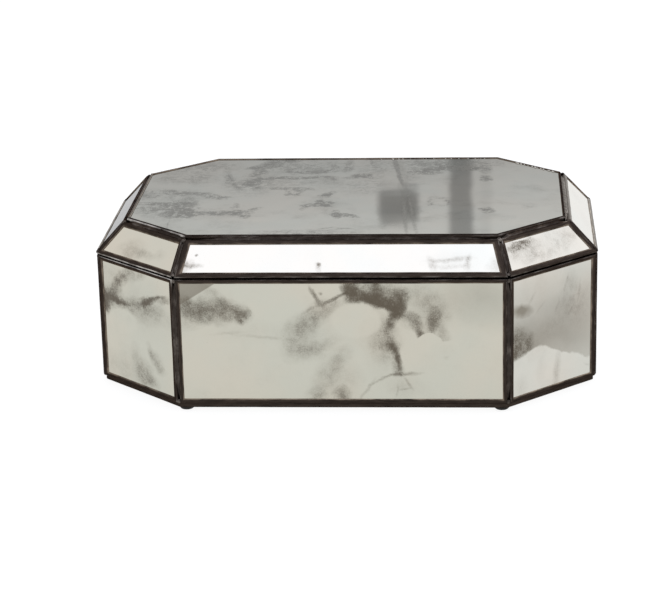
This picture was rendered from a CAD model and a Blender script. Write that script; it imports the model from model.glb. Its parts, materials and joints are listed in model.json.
"""Vanity trinket box: antiqued mirror panes in dark soldered came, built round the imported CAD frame."""
import json
import math
import random

import bpy
from mathutils import Matrix, Vector, geometry, noise


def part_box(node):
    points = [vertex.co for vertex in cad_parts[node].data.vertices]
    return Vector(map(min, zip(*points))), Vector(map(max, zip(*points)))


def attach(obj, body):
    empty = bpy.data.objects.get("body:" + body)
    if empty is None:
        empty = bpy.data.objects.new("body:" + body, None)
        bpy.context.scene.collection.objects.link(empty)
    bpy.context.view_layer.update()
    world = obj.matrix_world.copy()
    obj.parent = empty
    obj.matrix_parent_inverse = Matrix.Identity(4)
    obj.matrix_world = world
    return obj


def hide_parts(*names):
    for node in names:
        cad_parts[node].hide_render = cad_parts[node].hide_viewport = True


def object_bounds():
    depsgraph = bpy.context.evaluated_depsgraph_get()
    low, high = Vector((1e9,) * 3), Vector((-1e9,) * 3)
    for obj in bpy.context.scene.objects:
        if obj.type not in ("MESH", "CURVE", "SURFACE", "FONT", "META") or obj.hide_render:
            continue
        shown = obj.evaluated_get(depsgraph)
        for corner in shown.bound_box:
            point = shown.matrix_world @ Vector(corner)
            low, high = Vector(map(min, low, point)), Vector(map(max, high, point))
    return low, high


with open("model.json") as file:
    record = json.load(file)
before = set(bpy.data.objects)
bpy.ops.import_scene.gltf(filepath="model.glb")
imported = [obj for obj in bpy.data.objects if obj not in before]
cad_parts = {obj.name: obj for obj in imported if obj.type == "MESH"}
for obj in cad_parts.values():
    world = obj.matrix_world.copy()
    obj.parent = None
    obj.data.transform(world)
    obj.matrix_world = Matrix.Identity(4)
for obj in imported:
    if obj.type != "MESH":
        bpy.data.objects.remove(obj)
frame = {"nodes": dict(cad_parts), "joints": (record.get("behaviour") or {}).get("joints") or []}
cad_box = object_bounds()
noise.seed_set(1)   # or noise_vector would start from the clock, and each run's shapes would differ

# ---------------------------------------------------------------- sizes

MM = 0.001
SIDES = ("front", "front_right", "right", "back_right", "back", "back_left", "left", "front_left")
FEET = ("front_left", "front_right", "back_left", "back_right")
HANDS = ("left", "right")

# The frame gives the outlines and thicknesses. These are the small sizes that only the looks need.
FLANGE = 2.4 * MM         # width of a came's flange over the glass
CAME_STEP = 2.5 * MM      # spacing of the rings that a came is swept from
HAND_WOBBLE = 0.07 * MM   # how far hand made metal strays from true
GROOVE_FILL = 0.93        # share of a groove's depth that solder fills
WALL_SAG = 0.3 * MM       # how far the walls' lower flange hangs below the pane's outline
BEVEL_SKIRT = 0.85 * MM   # how far the lid's outer flange hangs over the seam
BEAD_STEP = 1.2 * MM      # spacing of the rings of a solder bead
ARRIS = 0.25 * MM         # chamfer along a pane's edges
PILE = 0.35 * MM          # height of the pad's velvet pile
PAD_ROUND = 1.2 * MM      # radius of the pad's upper edge
PAD_CROWN = 0.5 * MM      # how far the pad's middle stands above its edge
CHAMFER = 0.45 * MM       # width of a came's outer edge that is rubbed bare
MITRE_REACH = 3.5 * MM    # how near a mitre a came is rubbed more
MITRE_WEAR = 0.15         # how much more it is rubbed there


def node_points(*nodes):
    """Every point of some CAD nodes, at rest."""
    return [v.co.copy() for n in nodes for v in frame["nodes"][n].data.vertices]


# ---------------------------------------------------------------- flat outlines

def shrunk(outline, by):
    """An anticlockwise outline with every edge moved inward, by one distance or by one for each edge."""
    count = len(outline)
    by = by if hasattr(by, "__len__") else [by] * count
    result = []
    for i in range(count):
        before = (outline[i] - outline[i - 1]).normalized()
        after = (outline[(i + 1) % count] - outline[i]).normalized()
        p = outline[i] + Vector((-before.y, before.x)) * by[i - 1]
        q = outline[i] + Vector((-after.y, after.x)) * by[i]
        cross = before.x * after.y - before.y * after.x
        gap = q - p
        result.append(p + before * ((gap.x * after.y - gap.y * after.x) / cross))
    return result


def hull(points):
    """The corners of the outline round flat points, anticlockwise from the lowest left one."""
    points = list({(round(p.x, 7), round(p.y, 7)): p for p in points}.values())
    ring = [points[i] for i in geometry.convex_hull_2d(points)]
    area = sum(a.x * b.y - b.x * a.y for a, b in zip(ring, ring[1:] + ring[:1]))
    if area < 0:
        ring.reverse()
    corners = []
    for i, p in enumerate(ring):
        into, out = p - ring[i - 1], ring[(i + 1) % len(ring)] - p
        if into.length > 1e-5 and abs(into.normalized().cross(out.normalized())) > 1e-3:
            corners.append(p)
    first = min(range(len(corners)), key=lambda i: (round(corners[i].y, 4), corners[i].x))
    return corners[first:] + corners[:first]


class Panel:
    """A pane and its came in the panel's own axes: x level along it, y up its slope, z outward.
    The origin is on the came's outer face, at the middle of its outline."""

    def __init__(self, pane_node, came_node):
        middle = Vector((0, 0, sum(c.z for c in cad_box) / 2))
        mesh = frame["nodes"][pane_node].data
        broadest = max(mesh.polygons, key=lambda f: f.area)
        out = broadest.normal.copy()
        if out.dot(broadest.center - middle) < 0:
            out.negate()
        self.z = out
        self.x = Vector((1, 0, 0)) if abs(out.z) > 0.99 else Vector((0, 0, 1)).cross(out).normalized()
        self.y = out.cross(self.x)
        came = node_points(came_node)
        level = max(p.dot(out) for p in came)
        self.thickness = level - min(p.dot(out) for p in came)
        self.origin = out * level
        outer = [self.flat(p) for p in came if level - p.dot(out) < 0.01 * MM]
        lows, highs = Vector(map(min, *outer)), Vector(map(max, *outer))
        centre = (lows + highs) / 2
        self.origin += self.x * centre.x + self.y * centre.y
        self.outline = hull([p - centre for p in outer])
        pane = node_points(pane_node)
        self.pane_outline = hull([self.flat(p) for p in pane])
        heights = [(p - self.origin).dot(out) for p in pane]
        self.pane_top, self.pane_bottom = max(heights), min(heights)

    def flat(self, point):
        """A point of the box in the panel's own x and y."""
        local = point - self.origin
        return Vector((local.dot(self.x), local.dot(self.y)))

    def place(self, p, z=0.0):
        """A point of the panel's own axes in the frame of the box."""
        return self.origin + self.x * p[0] + self.y * p[1] + self.z * z


walls = {s: Panel(f"base_pane_{s}", f"base_came_{s}") for s in SIDES}
bevels = {s: Panel(f"lid_pane_{s}", f"lid_came_{s}") for s in SIDES}
lid_top = Panel("top_pane", "top_came")
bottom = Panel("floor_pane", "floor_came")
RIM_Z = max(p.z for p in node_points("base_came_front"))


# ---------------------------------------------------------------- shader nodes

def set_inputs(tree, node, inputs):
    """Each input is a value, or a socket to link to it."""
    for name, value in inputs.items():
        if isinstance(value, bpy.types.NodeSocket):
            tree.links.new(value, node.inputs[name])
        else:
            node.inputs[name].default_value = value


def add(tree, kind, inputs=(), **settings):
    """A new shader node."""
    node = tree.nodes.new("ShaderNode" + kind)
    for name, value in settings.items():
        setattr(node, name, value)
    set_inputs(tree, node, dict(inputs))
    return node


def calc(tree, operation, a, b=0.0):
    return add(tree, "Math", {0: a, 1: b}, operation=operation).outputs[0]


def times(tree, a, b):
    return calc(tree, "MULTIPLY", a, b)


def plus(tree, a, b):
    return calc(tree, "ADD", a, b)


def vector(tree, operation, a, b):
    """A sum with two vectors, or with a vector and the number that scales it."""
    second = "Scale" if operation == "SCALE" else 1
    node = add(tree, "VectorMath", {0: a, second: b}, operation=operation)
    return node.outputs["Value" if operation == "DOT_PRODUCT" else "Vector"]


def smooth_step(tree, value, low, high, to=(0.0, 1.0)):
    """value from low to high as a smooth rise, or fall, between the two numbers of to."""
    inputs = {0: value, 1: low, 2: high, 3: to[0], 4: to[1]}
    return add(tree, "MapRange", inputs, interpolation_type="SMOOTHSTEP").outputs[0]


def mix(tree, share, a, b):
    """Colour a where share is 0 and b where it is 1."""
    node = add(tree, "Mix", {0: share, 6: a, 7: b}, data_type="RGBA")
    return node.outputs[2]


def grain(tree, where, size, detail=4.0, roughness=0.55, seed=0.0):
    """Fractal noise from 0 to 1, with its coarsest lumps about size across in the units of where."""
    inputs = {"Vector": where, "W": seed, "Scale": 1 / size, "Detail": detail, "Roughness": roughness}
    return add(tree, "TexNoise", inputs, noise_dimensions="4D").outputs["Fac"]


def new_material(name):
    material = bpy.data.materials.new(name)
    material.use_nodes = True
    tree = material.node_tree
    tree.nodes.clear()
    shader = add(tree, "BsdfPrincipled")
    output = add(tree, "OutputMaterial")
    tree.links.new(shader.outputs[0], output.inputs[0])
    return material, tree, shader


def millimetres(tree):
    """Where a point is in the frame of the box, in millimetres."""
    place = add(tree, "TexCoord").outputs["Object"]
    return vector(tree, "SCALE", place, 1 / MM)


# ---------------------------------------------------------------- metals, rubber and velvet

BARE_METAL = (0.46, 0.44, 0.41, 1)


def metal(name, dark, rubbed, polish, lumps, drawn=False, glancing=(0.34, 0.30, 0.27, 1)):
    """Blackened metal: dark in the hollows, rubbed lighter on its edges, with a slightly lumpy skin.
    Drawn metal also has fine streaks along its length, which its run layer gives. Where bare is 1, the
    rubbed metal is grey. glancing tints what it mirrors at a grazing angle."""
    material, tree, shader = new_material(name)
    where = millimetres(tree)
    wear = add(tree, "Attribute", attribute_name="wear").outputs["Fac"]
    bare = add(tree, "Attribute", attribute_name="bare").outputs["Fac"]
    blotch = grain(tree, where, 9.0, 5.0, 0.6, 1.0)
    fine = grain(tree, where, 0.6, 4.0, 0.6, 2.0)
    height = plus(tree, grain(tree, where, 2.6, 3.0, 0.5, 3.0), times(tree, fine, 0.25))
    streaks = blotch
    if drawn:
        run = add(tree, "UVMap", uv_map="run").outputs[0]
        along = vector(tree, "MULTIPLY", run, (1 / MM, 9 / MM, 1))
        streaks = grain(tree, along, 9.0, 5.0, 0.62, 4.0)
        height = plus(tree, height, times(tree, streaks, 0.7))
    patchy = times(tree, wear, smooth_step(tree, blotch, 0.30, 0.70, (0.45, 1.0)))
    rubbing = plus(tree, patchy, times(tree, calc(tree, "SUBTRACT", streaks, 0.5), 0.9))
    rubbing = smooth_step(tree, rubbing, 0.22, 1.10)
    tone = mix(tree, smooth_step(tree, streaks, 0.32, 0.68), [c * 0.65 for c in dark] + [1],
               [c * 1.25 for c in dark] + [1])
    polished = mix(tree, bare, list(rubbed) + [1], BARE_METAL)
    colour = mix(tree, rubbing, tone, polished)
    roughness = smooth_step(tree, plus(tree, rubbing, fine), 0.2, 1.2, (polish + 0.14, polish - 0.14))
    bump = add(tree, "Bump", {"Height": height, "Strength": 1.0, "Distance": lumps}).outputs[0]
    set_inputs(tree, shader, {"Base Color": colour, "Metallic": 1.0, "Roughness": roughness,
                              "Specular Tint": glancing, "Normal": bump,
                              "Coat Weight": 0.06, "Coat Roughness": 0.2, "Coat IOR": 1.5})
    return material


def rubber():
    material, tree, shader = new_material("bumper_rubber")
    where = millimetres(tree)
    dust = smooth_step(tree, grain(tree, where, 1.5, 5.0, 0.65, 5.0), 0.45, 0.8)
    colour = mix(tree, dust, (0.006, 0.0055, 0.005, 1), (0.02, 0.018, 0.016, 1))
    bump = add(tree, "Bump", {"Height": grain(tree, where, 0.3, 3.0, 0.5, 6.0), "Strength": 0.5,
                              "Distance": 0.03 * MM}).outputs[0]
    set_inputs(tree, shader, {"Base Color": colour, "Roughness": 0.62, "Specular IOR Level": 0.2,
                              "Normal": bump})
    return material


def velvet():
    """Short pile, brushed this way and that in soft patches."""
    material, tree, shader = new_material("pad_velvet")
    where = millimetres(tree)
    brushed = smooth_step(tree, grain(tree, where, 26.0, 3.0, 0.5, 7.0), 0.35, 0.65)
    tufts = grain(tree, where, 0.35, 2.0, 0.6, 8.0)
    colour = mix(tree, brushed, (0.014, 0.012, 0.012, 1), (0.036, 0.032, 0.031, 1))
    colour = mix(tree, smooth_step(tree, tufts, 0.3, 0.75), (0.004, 0.004, 0.004, 1), colour)
    bump = add(tree, "Bump", {"Height": tufts, "Strength": 0.9, "Distance": PILE}).outputs[0]
    set_inputs(tree, shader, {"Base Color": colour, "Roughness": 0.95, "Sheen Weight": 0.55,
                              "Sheen Roughness": 0.35, "Sheen Tint": (0.62, 0.58, 0.56, 1), "Normal": bump})
    return material


def backing_paint():
    """The grey-brown paint on the back of a mirror pane."""
    material, tree, shader = new_material("backing_paint")
    where = millimetres(tree)
    blotch = grain(tree, where, 14.0, 6.0, 0.62, 9.0)
    strokes = add(tree, "Mapping", {"Vector": where, "Scale": (0.25, 0.25, 2.5)}).outputs[0]
    streak = grain(tree, strokes, 3.0, 4.0, 0.6, 10.0)
    colour = mix(tree, smooth_step(tree, blotch, 0.3, 0.7), (0.10, 0.09, 0.08, 1), (0.17, 0.157, 0.14, 1))
    colour = mix(tree, smooth_step(tree, streak, 0.5, 0.85), colour, (0.24, 0.225, 0.2, 1))
    bump = add(tree, "Bump", {"Height": streak, "Strength": 0.6, "Distance": 0.06 * MM}).outputs[0]
    set_inputs(tree, shader, {"Base Color": colour, "Roughness": 0.5, "Normal": bump})
    return material


def glass_edge():
    material, tree, shader = new_material("glass_edge")
    where = millimetres(tree)
    chips = smooth_step(tree, grain(tree, where, 0.8, 4.0, 0.6, 11.0), 0.4, 0.75)
    colour = mix(tree, chips, (0.05, 0.09, 0.075, 1), (0.25, 0.32, 0.29, 1))
    set_inputs(tree, shader, {"Base Color": colour, "Roughness": 0.3})
    return material


# ---------------------------------------------------------------- antiqued mirror

SILVER_WARM = (0.552, 0.528, 0.450)
SILVER_COOL = (0.526, 0.525, 0.455)
STAIN = (0.070, 0.052, 0.030, 1)
DIMMED = (0.245, 0.226, 0.186, 1)


def marked(tree, where, marks):
    """Soft ellipses added up. Each mark is x, y, half width, half height, turn in degrees, strength."""
    total = 0.0
    for x, y, wide, high, turn, strength in marks:
        inputs = {"Vector": where, "Location": (x, y, 0), "Rotation": (0, 0, math.radians(turn)),
                  "Scale": (wide * 1.6, high * 1.6, 1000)}
        inside = add(tree, "Mapping", inputs, vector_type="TEXTURE").outputs[0]
        soft = add(tree, "TexGradient", {"Vector": inside}, gradient_type="SPHERICAL").outputs["Fac"]
        total = add(tree, "Math", {0: soft, 1: strength * 1.35, 2: total},
                    operation="MULTIPLY_ADD").outputs[0]
    return total


def antique_mirror(name, marks, seed):
    """Silvering that has oxidised in clouds, veins and specks. marks has lists of soft ellipses, in
    millimetres from the pane's middle: clouds and lines of oxide, dull for a smooth veil, and clean for
    silver that kept a sharp edge. A mark in cut is a straight edge with everything to its left dimmed, and
    one in bands is a straight dim band. tone tints the silver, oxide is the colour of the stains, grit is
    how grainy they are, spread is small where their lumps are sharp, and glancing is the share of light
    that the pane mirrors at a grazing angle."""
    material, tree, shader = new_material(name)
    uv = add(tree, "UVMap", uv_map="panel").outputs[0]
    flat = vector(tree, "SCALE", uv, 1 / MM)

    def strayed(point, size, reach, shift):
        inputs = {"Vector": point, "W": seed + shift, "Scale": 1 / size, "Detail": 5.0, "Roughness": 0.62}
        colour = add(tree, "TexNoise", inputs, noise_dimensions="4D").outputs["Color"]
        centred = vector(tree, "SUBTRACT", colour, (0.5, 0.5, 0.5))
        return vector(tree, "ADD", point, vector(tree, "SCALE", centred, 2 * reach))

    where = strayed(flat, 10.0, 4.0, 0.0)
    near = strayed(flat, 4.0, 1.5, 1.5)
    grit = marks.get("grit", 0.4)
    lumps = grain(tree, flat, 5.2 - 2.6 * grit, 8.0, 0.68, seed + 2)
    specks = grain(tree, flat, 0.8, 4.0, 0.7, seed + 3)
    broad = grain(tree, flat, 42.0, 3.0, 0.5, seed + 4)

    kept = smooth_step(tree, marked(tree, near, marks.get("clean", ())), 0.32, 0.40, (1.0, 0.0))
    cloud = times(tree, marked(tree, where, marks.get("clouds", ())), kept)
    spread = marks.get("spread", 0.255)
    uneven = (max(0.1, 1 - 1.25 * grit), 1 + 1.25 * grit)
    cloud = times(tree, cloud, smooth_step(tree, lumps, 0.505 - spread, 0.505 + spread, uneven))
    line = marked(tree, near, marks.get("lines", ()))
    line = times(tree, line, smooth_step(tree, lumps, 0.25, 0.7, (0.6, 1.2)))
    total = plus(tree, cloud, line)
    # a faint haze of its own all over, and single pinholes
    smoke = grain(tree, where, 26.0, 7.0, 0.66, seed + 5)
    veil = smooth_step(tree, smoke, 0.46, 0.78, (0.0, marks.get("veil", 0.2)))
    total = plus(tree, total, veil)
    total = times(tree, total, smooth_step(tree, specks, 0.25, 0.75, (1 - grit, 1 + grit)))
    pin = smooth_step(tree, grain(tree, flat, 1.3, 1.0, 0.4, seed + 6), 0.77, 0.84, (0.0, 0.25))
    total = plus(tree, total, pin)
    # thick oxide is denser still, and each layer hides a share of the silver that is left
    total = times(tree, total, add(tree, "Math", {0: total, 1: 0.95, 2: 0.86},
                                              operation="MULTIPLY_ADD").outputs[0])
    clear = calc(tree, "EXPONENT", times(tree, total, -1.0))
    stained = times(tree, calc(tree, "SUBTRACT", 1.0, clear), 0.95)

    tone = marks.get("tone", (1, 1, 1))
    cool, warm = ([a * b for a, b in zip(silver, tone)] + [1] for silver in (SILVER_COOL, SILVER_WARM))
    tint = mix(tree, smooth_step(tree, broad, 0.35, 0.65), cool, warm)
    dull = times(tree, marked(tree, where, marks.get("dull", ())), kept)
    for x, y, turn, strength in marks.get("cut", ()):
        across = Vector((-math.sin(math.radians(turn)), math.cos(math.radians(turn)), 0))
        beyond = vector(tree, "DOT_PRODUCT", flat, across)
        offset = across.dot(Vector((x, y, 0)))
        shade = smooth_step(tree, beyond, offset - 0.35, offset + 0.35, (0.0, strength))
        dull = plus(tree, dull, shade)
    for x, y, half_width, half_height, turn, soft, strength in marks.get("bands", ()):
        inputs = {"Vector": where, "Location": (x, y, 0), "Rotation": (0, 0, math.radians(turn))}
        inside = add(tree, "Mapping", inputs, vector_type="TEXTURE").outputs[0]
        sizes = add(tree, "VectorMath", {0: inside}, operation="ABSOLUTE").outputs[0]
        parts = add(tree, "SeparateXYZ", {0: sizes}).outputs
        across = smooth_step(tree, parts[0], half_width - soft, half_width + soft, (strength, 0.0))
        along = smooth_step(tree, parts[1], half_height - 8 * soft, half_height + 4 * soft, (1.0, 0.0))
        dull = plus(tree, dull, times(tree, across, along))
    tint = mix(tree, calc(tree, "MINIMUM", dull, 1.0), tint, DIMMED)
    colour = mix(tree, stained, tint, marks.get("oxide", STAIN))
    roughness = smooth_step(tree, stained, 0.02, 0.8, (0.035, 0.12))
    metallic = smooth_step(tree, stained, 0.3, 1.0, (1.0, 0.45))
    wave = grain(tree, flat, 30.0, 1.0, 0.4, seed + 7)
    height = plus(tree, wave, times(tree, stained, -0.03))
    bump = add(tree, "Bump", {"Height": height, "Strength": 1.0, "Distance": 0.05 * MM}).outputs[0]
    glancing = marks.get("glancing", 0.72)
    set_inputs(tree, shader, {"Base Color": colour, "Metallic": metallic, "Roughness": roughness,
                              "Normal": bump, "Specular Tint": (glancing, glancing, glancing, 1),
                              "Coat Weight": 0.2, "Coat Roughness": 0.03, "Coat IOR": 1.5})
    return material


# Marks on the panes that the photograph shows, chosen by eye. The straight dim bands and the cut look like
# reflections of the studio there, but are drawn into the silver here.
FRONT = {
    "clouds": [
        (-82, 17, 10, 7, 0, 0.36), (-70, 17, 12, 6, -3, 0.40), (-60, 18, 9, 5, -18, 0.34),
        (-54, 16.5, 5, 3.2, -25, 0.34), (-51, 16, 2.2, 2.0, -30, 0.50), (-55, 12.5, 1.6, 2, 40, 0.4),
        (-67, 26, 8, 2.2, -32, 0.22), (-86, 22, 4, 4, 0, 0.25), (-76, 20, 18, 6, -8, 0.16),
        (5, 31, 3.6, 7, 0, 0.95), (7, 26, 3, 4, 10, 0.70), (13, 25.5, 7, 2.6, -6, 0.75),
        (21, 22.5, 7, 2.8, -14, 0.95), (30, 20, 4, 5, -10, 0.95), (32.5, 24, 3, 6, 0, 0.55),
        (20, 30.5, 2.6, 5, 0, 0.50), (24, 27, 10, 6, -6, 0.55), (13, 30, 8, 5, 0, 0.26),
        (28.5, 14, 2.4, 4.5, -12, 0.75), (27, 9, 2, 4, -20, 0.30), (35, 15, 5, 2.4, -12, 0.45),
        (41, 10, 3, 5, 28, 0.50), (43.5, 4, 2, 4, 35, 0.65), (38, 12, 5, 4, 0, 0.18),
        (50, 11, 2.8, 6, -14, 0.62), (51, 17, 6, 8, 0, 0.22), (55, 2, 3, 8, 12, 0.28),
        (41, 27, 9, 8, 0, 0.14), (45, 20, 10, 8, 0, 0.12), (27.5, -2, 2.6, 4, 10, 0.60),
        (29.5, -7, 1.8, 5, 20, 0.85), (24, -2, 6, 10, 0, 0.22), (25, 6, 4, 8, 0, 0.16),
        (30, -15, 2.6, 4, 0, 0.42), (22, 0, 8, 18, 0, 0.10), (-6, 20, 9, 3, 30, 0.20),
        (-14, 15, 9, 5, 40, 0.24), (-21, 9, 7, 6, 50, 0.22), (-26, 2, 5, 7, 10, 0.17),
        (-26, -6, 6, 5, 0, 0.19), (-17, -5, 6, 4, 0, 0.28), (-10, -2, 7, 3, 20, 0.16),
        (-19, 3, 12, 10, 0, 0.09), (-1, -9, 6, 4, 45, 0.20), (-6, -16, 6, 7, -25, 0.18),
        (-10, -25, 6, 8, -20, 0.16), (-14, -31, 5, 4, 0, 0.24), (0, -31, 4, 4, 0, 0.52),
        (3, -22, 7, 9, 0, 0.10), (34, -26, 7, 6, 0, 0.12), (8, 12, 16, 14, 0, 0.06), (-50, 6, 24, 5, 0, 0.05),
        (60, 22, 12, 10, 0, 0.06),
    ],
    "clean": [
        (8, 12, 18, 13, 0, 0.50), (58, -4, 9, 6, 0, 0.5), (41, -7, 9.5, 8, 0, 0.62), (48, 1, 4.5, 5, 0, 0.5),
    ],
    "lines": [
        (-14.5, 27, 4.2, 1.1, -60, 0.75), (-11.5, 22, 2.5, 1.6, -30, 0.4), (-11, 27.5, 0.9, 0.9, 0, 0.5),
        (-2.5, 25, 7, 0.9, 27, 0.60), (-16, 19, 5, 0.8, 30, 0.22), (31, -13, 0.9, 5, 10, 0.5),
        (34.5, -18.8, 7, 1.0, 2, 0.42), (13.5, -28, 7, 0.8, 55, 0.22), (21, -22, 6, 0.7, 28, 0.26),
        (28, -19.5, 5, 0.7, 8, 0.28), (36, -24, 3.5, 0.7, -55, 0.30), (34, -27.5, 3, 0.6, 10, 0.24),
        (30, -28.5, 3, 0.6, 80, 0.2), (-42, 2.5, 12, 0.8, -5, 0.14), (-62, 5, 7, 0.8, 4, 0.12),
        (13, 24, 6, 0.8, -4, 0.5), (22, 20.6, 6, 0.8, -16, 0.4),
    ],
    "cut": [(-78, 27.2, 32, 0.82)],
    "dull": [(80, 25, 20, 13, -20, 0.25), (-76, 28, 14, 8, 30, 0.05), (58, 20, 22, 14, 0, 0.05)],
    "veil": 0.08,
}
FRONT_LEFT = {
    "clouds": [
        (-29, 10, 3.4, 6, 14, 1.75), (-24, 13.5, 6, 3.2, -8, 0.85), (-18, 13, 8, 1.8, -4, 0.85),
        (-22, 17, 8, 3, 4, 0.42), (-17, 21, 6, 3, 50, 0.42), (-11, 27, 8, 3, 36, 0.42),
        (0, 31.5, 9, 3, 14, 0.28), (-3, 13.5, 14, 3, 6, 0.30), (8, 17, 5, 2.2, 16, 0.75),
        (13, 19, 6, 1.7, 28, 0.60), (26, 22, 7, 1.8, 14, 0.36), (0, 10, 26, 5, 2, 0.20),
        (14, 14, 10, 4, 10, 0.18), (11, -12, 2.6, 5, 24, 0.30), (16, -16, 5, 4, -45, 0.26),
        (19, -21, 3.5, 2.6, 0, 0.22), (5, -26, 6, 6, -30, 0.34), (9, -30, 6, 4, 0, 0.26),
        (-2, -21, 4, 9, 8, 0.18), (-18, -27, 12, 7, 0, 0.12), (-22, 28, 10, 8, 0, 0.10),
    ],
    "clean": [(-13, 1, 19, 11, 6, 0.46)],
    "dull": [(0, 12, 40, 14, 4, 0.10)],
    "lines": [
        (19, 22, 6, 0.8, 16, 0.60), (11, 18.5, 4, 0.8, 30, 0.60), (-17, 12, 8, 0.8, -2, 0.75),
        (8, 16, 3, 0.7, 10, 0.40),
    ],
    "grit": 0.5,
    "veil": 0.14,
}
FRONT_RIGHT = {
    "clouds": [
        (-26, -4, 8, 7, -20, 0.44), (-19, -6, 7, 5, -15, 0.34), (-29, 2, 5, 5, 0, 0.26),
        (-29, -9, 5, 4, 0, 0.50), (12, 22, 5, 8, 0, 0.12), (17, 14, 7, 9, 0, 0.11), (8, 4, 9, 7, 30, 0.10),
        (-4, 0, 6, 5, 0, 0.10), (6, 12, 6, 6, 0, 0.07), (22, 6, 7, 8, 0, 0.08),
    ],
    "dull": [
        (2, -6, 60, 26, -6, 0.36), (12, -8, 34, 16, -14, 0.16), (6, 14, 50, 18, 0, 0.16),
        (-24, 15.5, 6, 3, -8, 0.66), (-27, -4, 16, 11, 0, 0.20),
    ],
    "clean": [
        (-21, -28, 19, 19, 0, 0.62), (-6, -30, 13, 17.5, 0, 0.55), (8, -36, 13, 17, 0, 0.55),
        (20, -39, 15, 18, 0, 0.55), (33, -41, 9, 14, 0, 0.5),
    ],
    "lines": [
        (-16, 21, 3.5, 0.7, 50, 0.16), (-10, 14, 4, 0.7, 40, 0.10), (3, 12, 4, 0.8, 70, 0.12),
        (9, 22, 4, 0.8, 75, 0.12), (14, 8, 4, 0.7, 50, 0.12), (20, 18, 5, 0.7, 80, 0.12),
        (11, 27, 2, 0.8, 85, 0.16), (3, -26, 2.2, 9, -8, 0.24), (-24, -29, 4, 6, 0, 0.10),
        (-9, -19, 3, 8, 0, 0.07), (27, -28, 3, 0.7, -30, 0.12),
    ],
    "tone": (1.13, 1.13, 1.19),
    "grit": 0.6,
    "veil": 0.12,
}
BEVEL_FRONT = {
    "clouds": [
        (-85, -5, 4, 3, 30, 0.42), (-80, -4.5, 4, 1.4, 0, 0.36), (-12.3, -5.5, 1.3, 2.6, 25, 0.30),
        (59, -1.4, 10, 1.2, 4, 0.26), (49, -3.5, 2.0, 4.0, 20, 0.28), (69, -3.5, 1.6, 4.0, -15, 0.30),
        (84, -4.5, 4, 5, 0, 0.22), (59, -5.5, 9, 1.0, 0, 0.12), (59, -3, 11, 5, 0, 0.06),
    ],
    "lines": [(-78.3, 1.5, 0.8, 0.7, 0, 0.6), (-11.6, -3.8, 1.1, 1.0, 0, 0.6)],
    "tone": (0.95, 0.97, 1.05),
    "veil": 0.02,
}
BEVEL_FRONT_LEFT = {
    "clouds": [
        (4, -3.5, 7, 2.4, 0, 0.22), (-8, -2.5, 9, 4, 12, 0.16), (-6, -6.5, 8, 3, 10, 0.16),
        (16, -1.5, 4, 2.5, 0, 0.10),
    ],
    "tone": (1.08, 1.04, 1.01),
    "veil": 0.08,
}
BEVEL_FRONT_RIGHT = {
    "clouds": [
        (-15, 4, 8, 2.0, 4, 0.65), (-12, 0, 12, 6, 0, 0.24), (-22, 4, 5, 5, 0, 0.16),
        (12, 2, 3, 8, -45, 0.18), (6, -5, 7, 5, 0, 0.12), (19, 1, 3, 7, -50, 0.14), (6, 5, 4, 4, 0, 0.10),
        (-8, -6, 9, 3, 0, 0.10),
    ],
    "clean": [(-14, 8, 9, 1.8, 3, 0.5)],
    "tone": (0.93, 0.93, 0.98),
    "grit": 0.6,
    "veil": 0.16,
}
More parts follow.
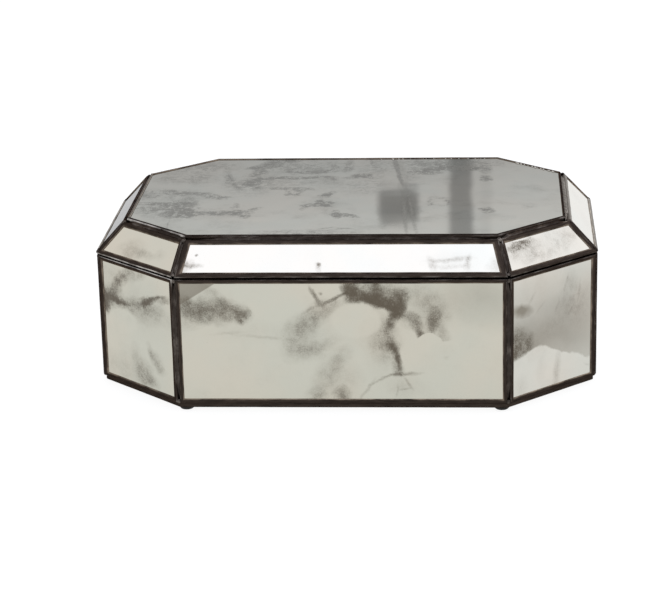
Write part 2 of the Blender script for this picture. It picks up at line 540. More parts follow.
TOP = {
    "clouds": [
        (-117, 1, 5, 8, 0, 0.42), (-102, 8, 7, 3.6, -25, 0.62), (-91, 5, 8, 3, -10, 0.55),
        (-80, 0, 8, 3.4, -30, 0.62), (-73, -4, 4, 4, 0, 0.42), (-112, -16, 9, 3.2, -4, 0.75),
        (-101, -18, 6, 3.4, 10, 0.80), (-112, -27, 9, 3, -14, 0.52), (-94, -14, 5, 7, 0, 0.55),
        (-99, -25, 6, 7, 0, 0.46), (-91, -25, 5, 9, 0, 0.52), (-96, -35, 8, 6, 20, 0.68),
        (-91, -39, 6, 4, 0, 0.85), (-80, -35.5, 8, 3, -6, 0.62), (-68, -35, 7, 4, 0, 0.75),
        (-60, -34, 5, 5, 30, 0.85), (-57, -42, 2.6, 4, 10, 0.70), (-53, -28, 5, 2.2, 40, 0.55),
        (-64, -22, 1.8, 6, 6, 0.36), (-59, 27, 3.4, 6, -10, 1.30), (-56, 34, 3.4, 4.5, -30, 0.90),
        (-49, 38, 6, 2.8, 10, 0.80), (-38, 38.5, 7, 2.4, 0, 0.75), (-29, 39, 7, 2.6, 6, 0.95),
        (-18, 41, 6, 2.4, -6, 0.75), (-12, 37, 2.8, 4.4, 20, 0.75), (-56, 17, 2.6, 2.4, 0, 0.62),
        (-44, 15.5, 7, 2.6, 0, 0.42), (-30, 14, 7, 3.2, -6, 0.50), (-36, 7, 1.8, 6, 6, 0.42),
        (-30, 7, 1.8, 6, -6, 0.42), (-33, 2, 4, 2, 0, 0.36), (-12, 5, 2.4, 4, -20, 0.55),
        (-14, 0, 3, 3.4, -20, 0.85), (-16, -14, 2.4, 4.5, 0, 0.85), (-12, -16, 2.6, 4, 0, 0.75),
        (-15, -20, 4.5, 3.4, 0, 1.25), (-24, -23, 2.2, 5, -8, 0.85), (-6, -37, 2.4, 5, 0, 0.95),
        (-1, -40, 4, 2.6, -20, 0.95), (4, -42, 4, 2.0, -20, 0.75), (-4, -43, 2.6, 2.4, 0, 0.75),
        (-53, 66, 9, 5, 35, 1.10), (-45, 76, 9, 4, 20, 0.85), (-60, 62, 5, 3, 20, 0.75),
        (-57, 51, 4, 8, 0, 0.80), (-58, 44, 3, 3, 0, 0.55), (-38, 54, 3, 6, 10, 0.62),
        (-29, 50.5, 8, 2.6, 0, 0.75), (-18, 53, 5, 3, 30, 0.55), (-12, 60, 3, 7, 0, 0.42),
        (5, 42, 5, 4, 10, 1.20), (-2, 38, 4, 2.6, 0, 0.62), (-4, 64, 2.6, 12, 0, 0.50),
        (42, 51, 7, 5, 0, 0.62), (49, 57, 9, 4, 20, 0.75), (64, 57, 9, 4, 0, 0.80), (74, 57, 5, 3.4, 0, 0.75),
        (62, 70, 22, 8, 0, 0.45), (78, 57, 3, 9, 0, 0.42), (78, 35, 3, 5, 0, 0.80), (79, -31, 3, 5, 0, 0.62),
        (103, -23, 4, 4, 0, 0.14), (47, -14, 2, 7, 0, 0.24), (57, -14, 2, 7, 0, 0.24),
        (52, -21, 5, 2, 0, 0.24), (52, -6, 5, 2, 0, 0.18), (-75, 40, 2.4, 16, 8, 0.34),
        (-69, 26, 2.4, 13, 20, 0.42), (-90, 40, 8, 14, 0, 0.24), (-100, 62, 14, 9, 20, 0.26),
        (-84, 66, 12, 9, 0, 0.24), (-106, 38, 12, 10, 0, 0.20), (-60, 24, 12, 20, 0, 0.22),
        (-30, 62, 22, 12, 0, 0.34), (-36, 28, 26, 12, 0, 0.15), (12, 60, 8, 22, 0, 0.22),
        (8, 20, 12, 16, 0, 0.16), (-98, -30, 18, 16, 0, 0.26), (-24, -75, 26, 5, 0, 0.30),
        (-102, 4, 20, 9, -15, 0.22), (40, 62, 14, 16, 0, 0.26), (-16, -18, 10, 8, 0, 0.12),
    ],
    "clean": [(-77, -20, 13, 10, 0, 0.42)],
    "bands": [
        (27, -27, 10.5, 28, 5.2, 1.0, 0.22), (37.0, -26, 3.2, 24, 5.2, 0.9, 0.20),
        (29.5, 34, 3.4, 40, 6.5, 1.0, 0.21),
    ],
    "dull": [(28, -34, 9, 18, 5, 0.10), (24, 76, 3.4, 18, 6, 0.22)],
    "lines": [
        (24, 68, 1.2, 22, 7.6, 0.55), (28, 34, 1.1, 20, 8.6, 0.42), (33, -40, 1.1, 34, 3.6, 0.42),
        (36.5, -30, 1.0, 44, 5.2, 0.42), (-98, -56, 0.6, 11, 2, 0.30), (-9, -65, 4, 0.8, 24, 0.42),
        (0, -66, 5, 0.8, -8, 0.42), (-4, -68, 4, 0.7, 14, 0.30), (-72, 34, 0.7, 12, 14, 0.40),
        (-40, 56, 0.7, 6, 10, 0.40), (9, 74, 0.8, 8, 6, 0.30),
    ],
    "tone": (1.00, 1.01, 1.05),
    "oxide": (0.060, 0.056, 0.034, 1),
    "grit": 0.75,
    "spread": 0.12,
    "veil": 0.36,
}
LID_RIGHT = {
    "clouds": [(-10, -4, 14, 4, 10, 0.05), (24, 2, 6, 4, 0, 0.06)],
    "tone": (1.70, 1.71, 1.82),
    "glancing": 0.79,
    "veil": 0.04,
}
LID_LEFT = {
    "clouds": [(20, -3, 10, 3, 10, 0.10), (-25, 2, 8, 4, 0, 0.08), (0, 0, 50, 20, 0, 0.16)],
    "tone": (0.90, 0.90, 0.88),
    "glancing": 0.25,
    "veil": 0.10,
}


def random_marks(seed, half_width, half_height):
    """Marks for a pane that the photograph doesn't show: broad faint clouds, trails of smaller ones that
    fade as they wander, and a patch of clean silver, no two panes alike."""
    chance = random.Random(seed)
    small = min(half_width, half_height * 2)
    clouds, lines, clean = [], [], []

    def spot(reach):
        return (chance.uniform(-half_width, half_width) * reach,
                chance.uniform(-half_height, half_height) * reach)

    for _ in range(4):
        x, y = spot(1.0)
        size = chance.uniform(0.35, 0.60) * small
        clouds.append((x, y, size, size * 0.5, chance.uniform(-40, 40), 0.15))
    for _ in range(3):
        x, y = spot(0.95)
        heading = chance.uniform(-180, 180)
        strength = chance.uniform(0.30, 0.60)
        clouds.append((x, y, 0.34 * small, 0.20 * small, heading, 0.24))
        for step in range(9):
            size = chance.uniform(0.07, 0.18) * small
            clouds.append((x, y, size, size * chance.uniform(0.3, 0.7), heading,
                           strength * chance.uniform(0.5, 1.2)))
            heading += chance.uniform(-32, 32)
            x += size * 1.2 * math.cos(math.radians(heading))
            y += size * 1.2 * math.sin(math.radians(heading))
            strength *= 0.88
            if step % 4 == 1:
                lines.append((x, y, 0.11 * small, 0.8, heading + chance.uniform(-25, 25), strength * 0.7))
    x, y = spot(0.6)
    heading = chance.uniform(-180, 180)
    for _ in range(5):
        clean.append((x, y, chance.uniform(0.08, 0.18) * small, chance.uniform(0.06, 0.13) * small, heading,
                      0.42))
        heading += chance.uniform(-60, 60)
        x += 0.12 * small * math.cos(math.radians(heading))
        y += 0.12 * small * math.sin(math.radians(heading))
    return {"clouds": clouds, "lines": lines, "clean": clean, "grit": 0.5, "veil": 0.12}


# ---------------------------------------------------------------- mesh helpers

def make_piece(name, verts, faces, materials, body, stands_for, face_materials=None, attributes=None,
               sharp=40):
    """A mesh object that rides on a body and stands for some CAD nodes."""
    mesh = bpy.data.meshes.new(name)
    mesh.from_pydata([tuple(v) for v in verts], [], faces)
    for material in materials:
        mesh.materials.append(material)
    if face_materials:
        mesh.polygons.foreach_set("material_index", face_materials)
    mesh.polygons.foreach_set("use_smooth", [True] * len(mesh.polygons))
    mesh.set_sharp_from_angle(angle=math.radians(sharp))
    for key, values in (attributes or {}).items():
        mesh.attributes.new(key, "FLOAT", "POINT").data.foreach_set("value", values)
    mesh.update()
    piece = bpy.data.objects.new(name, mesh)
    bpy.context.scene.collection.objects.link(piece)
    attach(piece, body)
    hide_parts(*stands_for)
    return piece


def loop_faces(start, rings, size, closed_rings=True):
    """Quads between rings of size points each, numbered on from start."""
    last = rings if closed_rings else rings - 1
    return [(start + r * size + k, start + ((r + 1) % rings) * size + k,
             start + ((r + 1) % rings) * size + (k + 1) % size, start + r * size + (k + 1) % size)
            for r in range(last) for k in range(size)]


def tube_faces(start, rings, size):
    """The faces of a tube with both ends closed. They face outward where each ring runs anticlockwise,
    seen from beyond the last one."""
    sides = [tuple(reversed(f)) for f in loop_faces(start, rings, size, closed_rings=False)]
    last = start + (rings - 1) * size
    return sides + [tuple(reversed(range(start, start + size))), tuple(range(last, last + size))]


def stray(point, size, reach, shift=0.0):
    """A smooth random offset that depends only on the place."""
    return noise.noise_vector(point / size + Vector((shift, shift * 2, shift * 3))) * reach


# ---------------------------------------------------------------- came

def came_profile(thickness):
    """The section of a U-shaped came with rounded faces, as inset from its outer edge, depth and how much
    that spot is rubbed."""
    lip, sheet = 0.40 * MM, 0.38 * MM
    half = [(FLANGE, -lip, 0.9), (FLANGE + 0.03 * MM, -0.28 * MM, 1.0),
            (FLANGE - 0.10 * MM, -0.12 * MM, 0.95), (FLANGE - 0.36 * MM, 0.02 * MM, 0.75),
            (FLANGE - 0.8 * MM, 0.12 * MM, 0.30), (1.2 * MM, 0.16 * MM, 0.08),
            (0.80 * MM, 0.15 * MM, 0.10), (0.50 * MM, 0.11 * MM, 0.30), (0.42 * MM, 0.05 * MM, 0.38),
            (0.06 * MM, -0.31 * MM, 0.38), (0.0, -0.42 * MM, 0.20)]
    back = [(s, -thickness - z, wear) for s, z, wear in reversed(half)]
    inner = [(sheet, -thickness + lip, 0.0), (sheet, -thickness / 2, 0.0), (sheet, -lip, 0.0)]
    return half + back + inner


def came_piece(name, panel, body, seed, widen=1.0, rise=0.0, sag=0.0, skirt=0.0, edge_wear=(),
               glossy=()):
    """A came swept round its panel, mitred at the corners and a little uneven, as it is made by hand.
    widen makes its flanges wider, by one factor or one for each side, from the lowest anticlockwise. rise
    lifts its outer face, by one height or one for each side, sag lowers its lowest edge and skirt lowers
    the outer half of that edge only. edge_wear has sides and how much more than usual the outer edge of
    each is rubbed, and glossy lists the burnished sides."""
    profile = came_profile(panel.thickness)
    corners = len(panel.outline)
    edge_wear = dict(edge_wear)
    widen = widen if hasattr(widen, "__len__") else [widen] * corners
    rise = rise if hasattr(rise, "__len__") else [rise] * corners
    rings = {}
    for s in {p[0] for p in profile}:
        for outer in (True, False):
            insets = [s * w for w in widen]
            insets[0] -= sag + skirt * outer
            rings[s, outer] = shrunk(panel.outline, insets)
    verts, wear, bare, runs, burnished = [], [], [], [], []
    start = 0.0
    for k in range(corners):
        length = (panel.outline[(k + 1) % corners] - panel.outline[k]).length
        steps = max(4, round(length / CAME_STEP))
        for j in range(steps):
            share = j / steps
            runs.append(start + share * length)
            burnished += [int(k in glossy)] * len(profile)
            near_corner = min(share, 1 - share) * length < MITRE_REACH
            for s, z, rubbed in profile:
                ring = rings[s, z > -panel.thickness * 0.4]
                flat = ring[k].lerp(ring[(k + 1) % corners], share)
                raised = rise[k] if z > -panel.thickness / 2 and s > 0 else 0.0
                point = panel.place(flat, z + raised)
                point += stray(point, 11 * MM, HAND_WOBBLE, seed)
                verts.append(point)
                edge = s < CHAMFER
                rubbed = (rubbed + MITRE_WEAR * near_corner) * (edge_wear.get(k, 1.0) if edge else 1.0)
                wear.append(min(1.0, rubbed))
                bare.append(float(edge))
        start += length
    size = len(profile)
    faces = [tuple(reversed(f)) for f in loop_faces(0, len(verts) // size, size)]
    piece = make_piece(name + "_metal", verts, faces, [came_metal, glossy_metal], body, [name],
                       face_materials=burnished, attributes={"wear": wear, "bare": bare}, sharp=38)
    around = [0.0]
    for (s, z, _), (t, w, _) in zip(profile, profile[1:]):
        around.append(around[-1] + math.hypot(t - s, w - z))
    layer = piece.data.uv_layers.new(name="run")
    for face in piece.data.polygons:
        places = [divmod(piece.data.loops[i].vertex_index, size) for i in face.loop_indices]
        wrapped = max(r for r, _ in places) - min(r for r, _ in places) > 1
        for i, (r, k) in zip(face.loop_indices, places):
            layer.data[i].uv = (start if wrapped and r == 0 else runs[r], around[k] + seed * 5 * MM)
    return piece


# ---------------------------------------------------------------- panes

def pane_piece(node, panel, body, face_material):
    """A mirror pane: a slab with its edges arrised, silvered face outward and painted at the back."""
    outer, inset = panel.pane_outline, shrunk(panel.pane_outline, ARRIS)
    top, low = panel.pane_top, panel.pane_bottom
    levels = [(inset, top), (outer, top - ARRIS), (outer, low + ARRIS), (inset, low)]
    verts = [panel.place(p, z) for ring, z in levels for p in ring]
    count = len(outer)
    faces = [tuple(range(count))] + [tuple(reversed(range(3 * count, 4 * count)))]
    materials = [0, 2]
    for level in range(3):
        for k in range(count):
            a, b = level * count + k, level * count + (k + 1) % count
            faces.append((a, a + count, b + count, b))
            materials.append(1)
    piece = make_piece(node + "_glass", verts, faces, [face_material, edge_material, backing_material],
                       body, [node], face_materials=materials, sharp=20)
    layer = piece.data.uv_layers.new(name="panel")
    for loop in piece.data.loops:
        layer.data[loop.index].uv = panel.flat(piece.data.vertices[loop.vertex_index].co)
    return piece


# ---------------------------------------------------------------- solder

def bead(verts, faces, wear, start, end, left, right, root, seed):
    """A run of solder from start to end. left, right and root are the three lines of its groove."""
    length = (end - start).length
    steps = max(6, round(length / BEAD_STEP))
    first = len(verts)
    across = 7
    for j in range(steps + 1):
        share = 0.01 + 0.98 * j / steps
        l, r, d = (line[0].lerp(line[1], share) for line in (left, right, root))
        level = GROOVE_FILL - 0.25 * abs(noise.noise(Vector((share * length / (6 * MM), seed, 0))))
        taper = min(1.0, 0.25 + 6 * min(share, 1 - share))
        for k in range(across):
            t = k / (across - 1)
            edge = d.lerp(l, level * taper).lerp(d.lerp(r, level * taper), t)
            sag = -0.10 * math.sin(math.pi * t)
            point = edge.lerp(d, sag)
            verts.append(point + stray(point, 2.6 * MM, 0.035 * MM, seed))
            wear.append(0.25 + 0.5 * abs(t - 0.5))
        verts.append(d)
        wear.append(0.0)
    size = across + 1
    faces += tube_faces(first, steps + 1, size)


def blob(verts, faces, wear, centre, axes, radii, seed, low=None, high=None):
    """A lump of solder: a flattened ball, uneven, kept between two levels where another body passes."""
    rings, around = 9, 14
    first = len(verts)
    for i in range(1, rings):
        tilt = math.pi * i / rings
        for j in range(around):
            spin = math.tau * j / around
            direction = (axes[0] * math.cos(spin) * math.sin(tilt) * radii[0]
                         + axes[1] * math.sin(spin) * math.sin(tilt) * radii[1]
                         + axes[2] * math.cos(tilt) * radii[2])
            uneven = 1 + 0.28 * noise.noise(direction.normalized() * 1.3 + Vector((seed * 3.7, seed, 0)))
            verts.append(centre + direction * uneven)
            wear.append(0.35 + 0.4 * max(0.0, math.cos(tilt)))
    ends = len(verts)
    verts += [centre + axes[2] * radii[2], centre - axes[2] * radii[2]]
    wear += [0.7, 0.3]
    for p in verts[first:]:
        if low is not None:
            p.z = max(p.z, low)
        if high is not None:
            p.z = min(p.z, high)
    for i in range(rings - 2):
        for j in range(around):
            a, b = first + i * around + j, first + i * around + (j + 1) % around
            faces.append((a, a + around, b + around, b))
    for j in range(around):
        a, b = first + j, first + (j + 1) % around
        faces.append((a, b, ends))
        a, b = (first + (rings - 2) * around + n for n in (j, (j + 1) % around))
        faces.append((b, a, ends + 1))


def groove(left_panel, right_panel, left_ends, right_ends):
    """The three lines of the groove between two cames, from the outer edge of each to their meeting root."""
    left = [left_panel.place(p) for p in left_ends]
    right = [right_panel.place(p) for p in right_ends]
    root = [left_panel.place(p, -left_panel.thickness) for p in left_ends]
    return left, right, root


def corner_of(panel, right, upper):
    """The lower or upper corner of a four-sided panel, at its left or right."""
    order = sorted(panel.outline, key=lambda p: p.y)
    pair = order[2:] if upper else order[:2]
    return max(pair, key=lambda p: p.x) if right else min(pair, key=lambda p: p.x)


def joint_axes(a, b):
    """Axes for a lump at the joint of two panels: along the case, up it, and outward."""
    out = (a.z + b.z).normalized()
    level = Vector((0, 0, 1)).cross(out).normalized()
    return level, out.cross(level), out


def base_solder():
    verts, faces, wear = [], [], []
    for i, side in enumerate(SIDES):
        right, left = walls[side], walls[SIDES[i - 1]]
        sag = Vector((0, WALL_SAG))
        left_ends = [corner_of(left, True, False) - sag, corner_of(left, True, True)]
        right_ends = [corner_of(right, False, False) - sag, corner_of(right, False, True)]
        l, r, d = groove(left, right, left_ends, right_ends)
        bead(verts, faces, wear, d[0], d[1], l, r, d, i + 1.0)
        axes = joint_axes(left, right)
        for end, upper in ((0, False), (1, True)):
            at = (l[end] + r[end] + d[end]) / 3 + axes[2] * 0.2 * MM
            at.z += -1.2 * MM if upper else 0.9 * MM
            blob(verts, faces, wear, at, axes, (1.15 * MM, 1.4 * MM, 0.8 * MM), i + 20 * end + 1.0,
                 high=RIM_Z)
    return make_piece("base_solder_beads", verts, faces, [solder_metal], "base", ["base_solder"],
                      attributes={"wear": wear}, sharp=60)


def droplets(verts, faces, wear):
    """Small bright droplets of fresh solder along the inner edge of the top came, at its right and back."""
    chance = random.Random(5)
    inner = shrunk(lid_top.outline, 0.6 * FLANGE)
    # the side of the flat top, the share of it from and to, how many, and their radius in millimetres
    rows = [(3, 0.05, 0.70, 13, 0.46), (4, 0.02, 0.42, 15, 0.24), (0, 0.80, 0.97, 6, 0.22)]
    for k, low, high, number, size in rows:
        start, end = inner[k], inner[(k + 1) % len(inner)]
        along = (end - start).normalized()
        inward = Vector((-along.y, along.x))
        axes = [lid_top.x * way.x + lid_top.y * way.y for way in (along, inward)] + [lid_top.z]
        for i in range(number):
            share = low + (high - low) * (i + chance.uniform(0.1, 0.9)) / number
            at = lid_top.place(start.lerp(end, share) + inward * 0.25 * MM, -0.35 * MM)
            radius = size * chance.uniform(0.6, 1.3) * MM
            radii = (radius * chance.uniform(1.0, 2.2), radius, radius)
            blob(verts, faces, wear, at, axes, radii, i + 140.0)


def lid_solder():
    verts, faces, wear, metals = [], [], [], []
    for i, side in enumerate(SIDES):
        right, left = bevels[side], bevels[SIDES[i - 1]]
        left_ends = [corner_of(left, True, False), corner_of(left, True, True)]
        right_ends = [corner_of(right, False, False), corner_of(right, False, True)]
        l, r, d = groove(left, right, left_ends, right_ends)
        bead(verts, faces, wear, d[0], d[1], l, r, d, i + 40.0)
        axes = joint_axes(left, right)
        at = (l[0] + r[0] + d[0]) / 3 + axes[2] * 0.1 * MM + Vector((0, 0, 0.8 * MM))
        blob(verts, faces, wear, at, axes, (1.1 * MM, 1.2 * MM, 0.6 * MM), i + 60.0,
             low=right.place(corner_of(right, False, False)).z)
        crown = (right.place(right_ends[1]) + left.place(left_ends[1])) / 2 + Vector((0, 0, -0.5 * MM))
        blob(verts, faces, wear, crown - axes[2] * 0.5 * MM, axes, (1.5 * MM, 1.5 * MM, 0.9 * MM), i + 80.0)
        # round the flat top
        upper = [corner_of(right, False, True), corner_of(right, True, True)]
        ends = [lid_top.flat(right.place(p)) for p in upper]
        tops = [min(lid_top.outline, key=lambda q, e=e: (q - e).length) for e in ends]
        l = [lid_top.place(p) for p in tops]
        r = [right.place(p) for p in upper]
        d = [right.place(p, -right.thickness) for p in upper]
        metals += [0] * (len(faces) - len(metals))
        bead(verts, faces, wear, d[0], d[1], l, r, d, i + 100.0)
        metals += [2 if side == "right" else 0] * (len(faces) - len(metals))
    droplets(verts, faces, wear)
    metals += [1] * (len(faces) - len(metals))
    return make_piece("lid_solder_beads", verts, faces, [solder_metal, fresh_solder, glossy_solder], "lid",
                      ["lid_solder"], face_materials=metals, attributes={"wear": wear}, sharp=60)


# ---------------------------------------------------------------- feet, hinges and pad

def lathe(profile, centre, axis, sides=40):
    """Points and faces of a turned form, closed at both ends. profile is distance along the axis and
    radius."""
    side = axis.orthogonal().normalized()
    other = axis.cross(side)
    turns = [math.tau * k / sides for k in range(sides)]
    spokes = [side * math.cos(t) + other * math.sin(t) for t in turns]
    verts = [centre + axis * h + spoke * r for h, r in profile for spoke in spokes]
    return verts, tube_faces(0, len(profile), sides)


def foot_piece(corner):
    node = f"foot_{corner}"
    low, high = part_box(node)
    height, radius = high.z - low.z, (high.x - low.x) / 2
    flat, soft = radius * 0.60, 0.06 * MM
    profile = [(0.0, flat * 0.9), (soft, flat)]
    steps = 12
    for k in range(1, steps):
        t = k / steps
        profile.append((soft + (height - soft) * t, flat + (radius - flat) * math.sqrt(t * (2 - t))))
    profile.append((height, radius))
    centre = Vector(((low.x + high.x) / 2, (low.y + high.y) / 2, low.z))
    verts, faces = lathe(profile, centre, Vector((0, 0, 1)))
    return make_piece(f"bumper_{corner}", verts, faces, [rubber_material], "base", [node],
                      sharp=50)


def joined(parts):
    """Several meshes' points and faces as one."""
    verts, faces = [], []
    for more_verts, more_faces in parts:
        start = len(verts)
        verts += more_verts
        faces += [tuple(i + start for i in f) for f in more_faces]
    return verts, faces


def knuckle(x0, x1, axis_point, radius, bore):
    """A rolled knuckle round the hinge's pin, its ends softened, open along its bore."""
    soft = 0.12 * MM
    length = x1 - x0
    profile = [(0.0, bore), (0.0, radius - soft), (soft, radius), (length - soft, radius),
               (length, radius - soft), (length, bore)]
    sides = 28
    start = Vector((x0, axis_point.y, axis_point.z))
    ring = [Vector((0, math.cos(math.tau * k / sides), math.sin(math.tau * k / sides))) for k in range(sides)]
    verts = [start + Vector((h, 0, 0)) + d * r for h, r in profile for d in ring]
    faces = [tuple(reversed(f)) for f in loop_faces(0, len(profile), sides)]
    return verts, faces


def plate(centre, x, y, z, half):
    """A hinge leaf: a plate with its upper edges chamfered. half holds its half sizes."""
    cut = 0.14 * MM
    verts = []
    for level, inset in ((-half.z, 0.0), (half.z - cut, 0.0), (half.z, cut)):
        for sx, sy in ((-1, -1), (1, -1), (1, 1), (-1, 1)):
            verts.append(centre + x * sx * (half.x - inset) + y * sy * (half.y - inset) + z * level)
    faces = loop_faces(0, 3, 4, closed_rings=False)
    faces = [tuple(reversed(f)) for f in faces]
    return verts, faces + [(3, 2, 1, 0), (8, 9, 10, 11)]


hinge = frame["joints"][0]
PIN = Vector(hinge["pos_m"])
LEAF = 0.5 * MM           # thickness of a hinge leaf
KNUCKLE = 1.3 * MM        # outer radius of a knuckle
BORE = 0.65 * MM          # radius of the hole through it
KNUCKLE_GAP = 0.2 * MM    # between one knuckle and the next
LEAF_REACH = 3.2 * MM     # how far the lid's leaf reaches up the slope


def hinge_pieces(hand):
    """One hinge: the case's leaf with two knuckles, the lid's with one, and the pin with its two heads."""
    low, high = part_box(f"hinge_leaf_lid_{hand}")
    mid, length = (low.x + high.x) / 2, high.x - low.x
    spots = [mid - length - KNUCKLE_GAP, mid + length + KNUCKLE_GAP]
    back = walls["back"]
    base_low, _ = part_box(f"hinge_leaf_base_{hand}")
    parts = []
    for x in spots:
        parts.append(knuckle(x - length / 2, x + length / 2, PIN, KNUCKLE, BORE))
        tall = PIN.z - BORE - 0.2 * MM - base_low.z
        centre = Vector((x, back.place((0, 0)).y + LEAF / 2, base_low.z + tall / 2))
        parts.append(plate(centre, back.x, back.y, back.z, Vector((length / 2, tall / 2, LEAF / 2))))
    verts, faces = joined(parts)
    wear = [0.9 if (v - PIN).cross(Vector((1, 0, 0))).length < 2 * KNUCKLE else 0.5 for v in verts]
    make_piece(f"hinge_base_{hand}", verts, faces, [hinge_metal], "base",
               [f"hinge_leaf_base_{hand}"], attributes={"wear": wear}, sharp=35)

    slope = bevels["back"]
    foot_line = slope.place((0, min(p.y for p in slope.outline)))
    reach = (Vector((0, PIN.y, PIN.z)) - Vector((0, foot_line.y, foot_line.z))).length - BORE
    tall = LEAF_REACH + reach * 0.8
    centre = Vector((mid, foot_line.y, foot_line.z)) + slope.y * (LEAF_REACH - tall / 2) + slope.z * LEAF / 2
    half = Vector((length / 2, tall / 2, LEAF / 2))
    verts, faces = joined([knuckle(mid - length / 2, mid + length / 2, PIN, KNUCKLE, BORE),
                           plate(centre, slope.x, slope.y, slope.z, half)])
    wear = [0.9 if (v - PIN).cross(Vector((1, 0, 0))).length < 2 * KNUCKLE else 0.5 for v in verts]
    make_piece(f"hinge_lid_{hand}", verts, faces, [hinge_metal], "lid",
               [f"hinge_leaf_lid_{hand}"], attributes={"wear": wear}, sharp=35)

    low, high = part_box(f"hinge_pin_{hand}")
    radius, head = BORE - 0.05 * MM, (high.z - low.z) / 2
    long, cap = high.x - low.x, 0.5 * MM
    one_head = [(0.0, head * 0.55), (cap * 0.35, head * 0.92), (cap, head), (cap, radius)]
    profile = one_head + [(long - h, r) for h, r in reversed(one_head)]
    verts, faces = lathe(profile, Vector((low.x, PIN.y, PIN.z)), Vector((1, 0, 0)), 28)
    make_piece(f"hinge_pin_rod_{hand}", verts, faces, [hinge_metal], "base",
               [f"hinge_pin_{hand}"], attributes={"wear": [1.0] * len(verts)}, sharp=35)


def pad_piece():
    """The velvet pad: a crowned octagon with a rolled edge and a little life in its surface."""
    points = node_points("floor_pad")
    low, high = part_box("floor_pad")
    outline = hull([Vector((p.x, p.y)) for p in points])
    verts = []
    count = len(outline)
    per_side = 22

    def ring(inset, z, scale=1.0):
        corners = [p * scale for p in shrunk(outline, inset)]
        for k in range(count):
            for j in range(per_side):
                p = corners[k].lerp(corners[(k + 1) % count], j / per_side)
                point = Vector((p.x, p.y, z))
                verts.append(point + Vector((0, 0, stray(point, 16 * MM, 0.14 * MM).z * (z > low.z))))

    ring(0.15 * MM, low.z)
    rounding = 6
    for k in range(rounding + 1):
        angle = math.pi / 2 * k / rounding
        ring(PAD_ROUND * (1 - math.cos(angle)), high.z - PAD_ROUND - PAD_CROWN + PAD_ROUND * math.sin(angle))
    inner = 14
    for k in range(1, inner + 1):
        share = k / inner
        rise = PAD_CROWN * math.sin(math.pi / 2 * min(1.0, share * 2.2)) - 0.12 * MM
        ring(PAD_ROUND, high.z - PAD_CROWN + rise, 1.0 - 0.98 * share)
    size = count * per_side
    piece = make_piece("velvet_pad", verts, tube_faces(0, len(verts) // size, size), [velvet_material],
                       "base", ["floor_pad"], sharp=180)
    return piece


# ---------------------------------------------------------------- build the object

def flange_factors(side):
    """How much wider than usual a wall's flanges are: below, right, above and left. Those at the two ends
    of the case, where three panes meet, are broader."""
    right = 1.35 if side in ("front_right", "back_left") else 1.0
    left = 1.5 if side in ("front_left", "back_right") else 1.0
    return (FLANGE + WALL_SAG) / FLANGE, right, 1.0, left


def skirt_of(side):
    """How far a bevel's outer flange hangs over the seam. At the back it would cut into the hinges."""
    return 0.0 if side == "back" else BEVEL_SKIRT


def bevel_factors(side):
    """The same for the lid's bevels: the long ones have broad ends, and the slanted ones beside them have
    narrow ones."""
    below = (FLANGE + 0.7 * skirt_of(side)) / FLANGE
    if side in ("front", "back"):
        return below, 1.55, 1.22, 1.55
    if side in ("left", "right"):
        return below, 1.0, 0.5 if side == "left" else 1.2, 1.0
    right = 0.75 if side in ("front_left", "back_right") else 1.0
    left = 0.75 if side in ("front_right", "back_left") else 1.0
    return below, right, 1.22, left


CAME_COLOURS = (0.034, 0.0255, 0.0205), (0.235, 0.190, 0.145)
SOLDER_COLOURS = (0.042, 0.034, 0.029), (0.19, 0.17, 0.15)
GLOSS = (1.0, 0.96, 0.90, 1)
came_metal = metal("dark_came", *CAME_COLOURS, 0.34, 0.045 * MM, drawn=True)
glossy_metal = metal("glossy_came", *CAME_COLOURS, 0.28, 0.025 * MM, drawn=True, glancing=GLOSS)
solder_metal = metal("dark_solder", *SOLDER_COLOURS, 0.32, 0.07 * MM)
glossy_solder = metal("glossy_solder", *SOLDER_COLOURS, 0.28, 0.03 * MM, glancing=GLOSS)
fresh_solder = metal("fresh_solder", (0.55, 0.53, 0.48), (0.85, 0.83, 0.76), 0.30, 0.03 * MM)
hinge_metal = metal("hinge_brass", (0.042, 0.030, 0.021), (0.26, 0.18, 0.10), 0.34, 0.03 * MM)
rubber_material = rubber()
velvet_material = velvet()
backing_material = backing_paint()
edge_material = glass_edge()

seen_marks = {
    ("base", "front"): FRONT,
    ("base", "front_left"): FRONT_LEFT,
    ("base", "front_right"): FRONT_RIGHT,
    ("lid", "front"): BEVEL_FRONT,
    ("lid", "front_left"): BEVEL_FRONT_LEFT,
    ("lid", "front_right"): BEVEL_FRONT_RIGHT,
    ("lid", "right"): LID_RIGHT,
    ("lid", "left"): LID_LEFT,
}

for body, panels in (("base", walls), ("lid", bevels)):
    for index, side in enumerate(SIDES):
        panel = panels[side]
        seed = index + (1 if body == "base" else 31)
        width, height = (max(p[a] for p in panel.outline) / MM for a in (0, 1))
        marks = seen_marks.get((body, side)) or random_marks(seed, width, height)
        if body == "base":
            came_piece(f"{body}_came_{side}", panel, body, seed, flange_factors(side), sag=WALL_SAG,
                       edge_wear=[(0, 0.1), (2, 2.8 if side == "front_left" else 1.0)])
        else:
            came_piece(f"{body}_came_{side}", panel, body, seed, bevel_factors(side), skirt=skirt_of(side),
                       edge_wear=[(0, 2.8 if side == "front_left" else 1.0)],
                       glossy={"left": (0,), "right": (0, 2)}.get(side, ()))
        silver = antique_mirror(f"mirror_{body}_{side}", marks, seed * 7.3)
        pane_piece(f"{body}_pane_{side}", panel, body, silver)
came_piece("top_came", lid_top, "lid", 61, [1.28, 1.17, 0.6, 0.5, 0.5, 0.5, 0.55, 1.17],
           [r * MM for r in (0.3, 0.3, 0.3, 0.0, 0.0, 0.0, 0.2, 0.3)],
           edge_wear=[(7, 2.8)], glossy=(6,))
pane_piece("top_pane", lid_top, "lid", antique_mirror("mirror_top", TOP, 71.0))
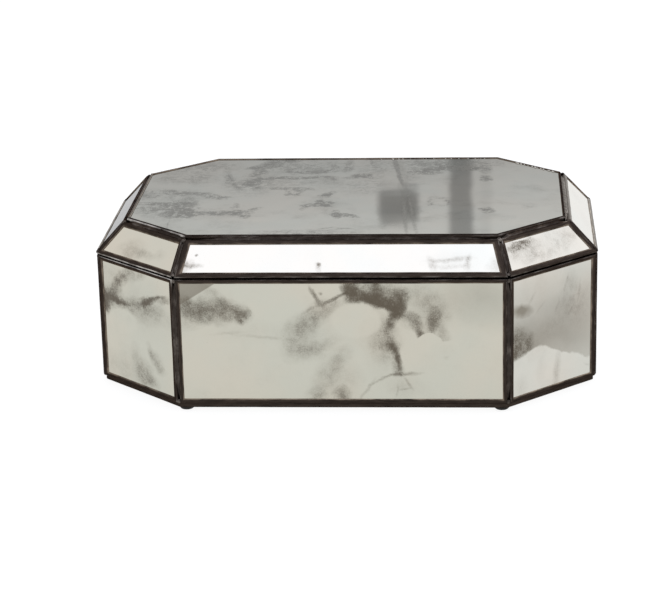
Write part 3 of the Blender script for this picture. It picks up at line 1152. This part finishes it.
came_piece("floor_came", bottom, "base", 62, rise=0.8 * MM, edge_wear=[(k, 0.1) for k in range(8)])
pane_piece("floor_pane", bottom, "base", antique_mirror("mirror_floor", random_marks(63, 120, 80), 63.0))
base_solder()
lid_solder()
for corner in FEET:
    foot_piece(corner)
for hand in HANDS:
    hinge_pieces(hand)
pad_piece()


# ---------------------------------------------------------------- floor, light and camera

def make_floor():
    half = 6.0
    mesh = bpy.data.meshes.new("floor")
    corners = [(-half, -half, 0), (half, -half, 0), (half, half, 0), (-half, half, 0)]
    mesh.from_pydata(corners, [], [(0, 1, 2, 3)])
    floor = bpy.data.objects.new("floor", mesh)
    bpy.context.scene.collection.objects.link(floor)
    material, tree, shader = new_material("pale_floor")
    set_inputs(tree, shader, {"Base Color": (0.15, 0.15, 0.15, 1), "Roughness": 0.9,
                              "Specular IOR Level": 0.1,
                              "Emission Color": (1, 1, 1, 1), "Emission Strength": 0.90})
    mesh.materials.append(material)


def make_world():
    """An even white studio dome, with four soft boxes and four dim flags that the panes mirror."""
    world = bpy.data.worlds.new("studio")
    bpy.context.scene.world = world
    world.use_nodes = True
    tree = world.node_tree
    tree.nodes.clear()
    heading = add(tree, "TexCoord").outputs["Generated"]
    parts = add(tree, "SeparateXYZ", {0: heading}).outputs
    azimuth = calc(tree, "ARCTAN2", parts[0], parts[1])
    azimuth = times(tree, azimuth, 180 / math.pi)
    height = times(tree, calc(tree, "ARCSINE", parts[2]), 180 / math.pi)
    light = smooth_step(tree, height, 13.5, 18.5, (0.62, 1.04))
    light = times(tree, light, smooth_step(tree, height, 64.0, 72.0, (1.0, 0.45)))
    # soft boxes: the way to each, its radius and where it has faded out, in degrees, then its strength
    boxes = [((0.0, -0.54, 0.843), 8, 13, 0.88), ((0.776, 0.032, 0.629), 12, 26, 0.55),
             ((0.324, 0.945, 0.047), 4, 9, 0.85), ((0.318, 0.786, 0.530), 3, 7, 6.0)]
    for direction, inner, outer, more in boxes:
        facing = vector(tree, "DOT_PRODUCT", heading, Vector(direction).normalized())
        soft = smooth_step(tree, facing, math.cos(math.radians(outer)), math.cos(math.radians(inner)),
                           (0.0, more))
        light = plus(tree, light, soft)
    # dim flags: azimuth from and to, height from and to, in degrees, then the share of light they take
    flags = [(-1.08, -0.50, 10.0, 24.0, 0.50), (-0.28, -0.02, 10.0, 24.0, 0.10),
             (-2.92, -1.92, 15.75, 16.55, 0.52), (-0.42, -0.30, 10.0, 24.0, 0.05)]
    edge = 0.10
    for from_azimuth, to_azimuth, from_height, to_height, share in flags:
        inside = smooth_step(tree, azimuth, from_azimuth - edge, from_azimuth + edge)
        for value, level, to in ((azimuth, to_azimuth, (1.0, 0.0)), (height, from_height, (0.0, 1.0)),
                                 (height, to_height, (share, 0.0))):
            inside = times(tree, inside, smooth_step(tree, value, level - edge, level + edge, to))
        light = times(tree, light, calc(tree, "SUBTRACT", 1.0, inside))
    light = times(tree, light, smooth_step(tree, azimuth, -1.2, 1.2, (1.02, 1.08)))
    tone = mix(tree, smooth_step(tree, height, 20.0, 50.0), (0.975, 0.98, 1.0, 1), (0.975, 0.98, 1.05, 1))
    background = add(tree, "Background", {"Color": tone, "Strength": light})
    output = add(tree, "OutputWorld")
    tree.links.new(background.outputs[0], output.inputs[0])


def make_camera():
    """A long lens looking down at the front of the box, turned a little to its left side."""
    lens, distance = 125.0, 1.34836
    pitch, turn, roll = (math.radians(a) for a in (18.65, 4.28, -1.43))
    aside, above = -13.29 * MM, 24.26 * MM
    stand = Matrix.Rotation(turn, 3, "Z")
    ahead = Vector((0, math.cos(pitch), -math.sin(pitch)))
    level, up = Vector((1, 0, 0)), Vector((0, math.sin(pitch), math.cos(pitch)))
    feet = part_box("foot_front_left")[1].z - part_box("foot_front_left")[0].z
    place = stand @ (level * aside + up * above - ahead * distance) + Vector((0, 0, feet))
    right = level * math.cos(roll) + up * math.sin(roll)
    top = up * math.cos(roll) - level * math.sin(roll)
    axes = Matrix((stand @ right, stand @ top, stand @ -ahead)).transposed()
    data = bpy.data.cameras.new("camera")
    data.lens, data.sensor_width = lens, 36.0
    data.clip_start, data.clip_end = 0.05, 50.0
    camera = bpy.data.objects.new("camera", data)
    bpy.context.scene.collection.objects.link(camera)
    camera.matrix_world = Matrix.Translation(place) @ axes.to_4x4()
    bpy.context.scene.camera = camera


make_floor()
make_world()
make_camera()
bpy.context.scene.view_settings.view_transform = "Standard"
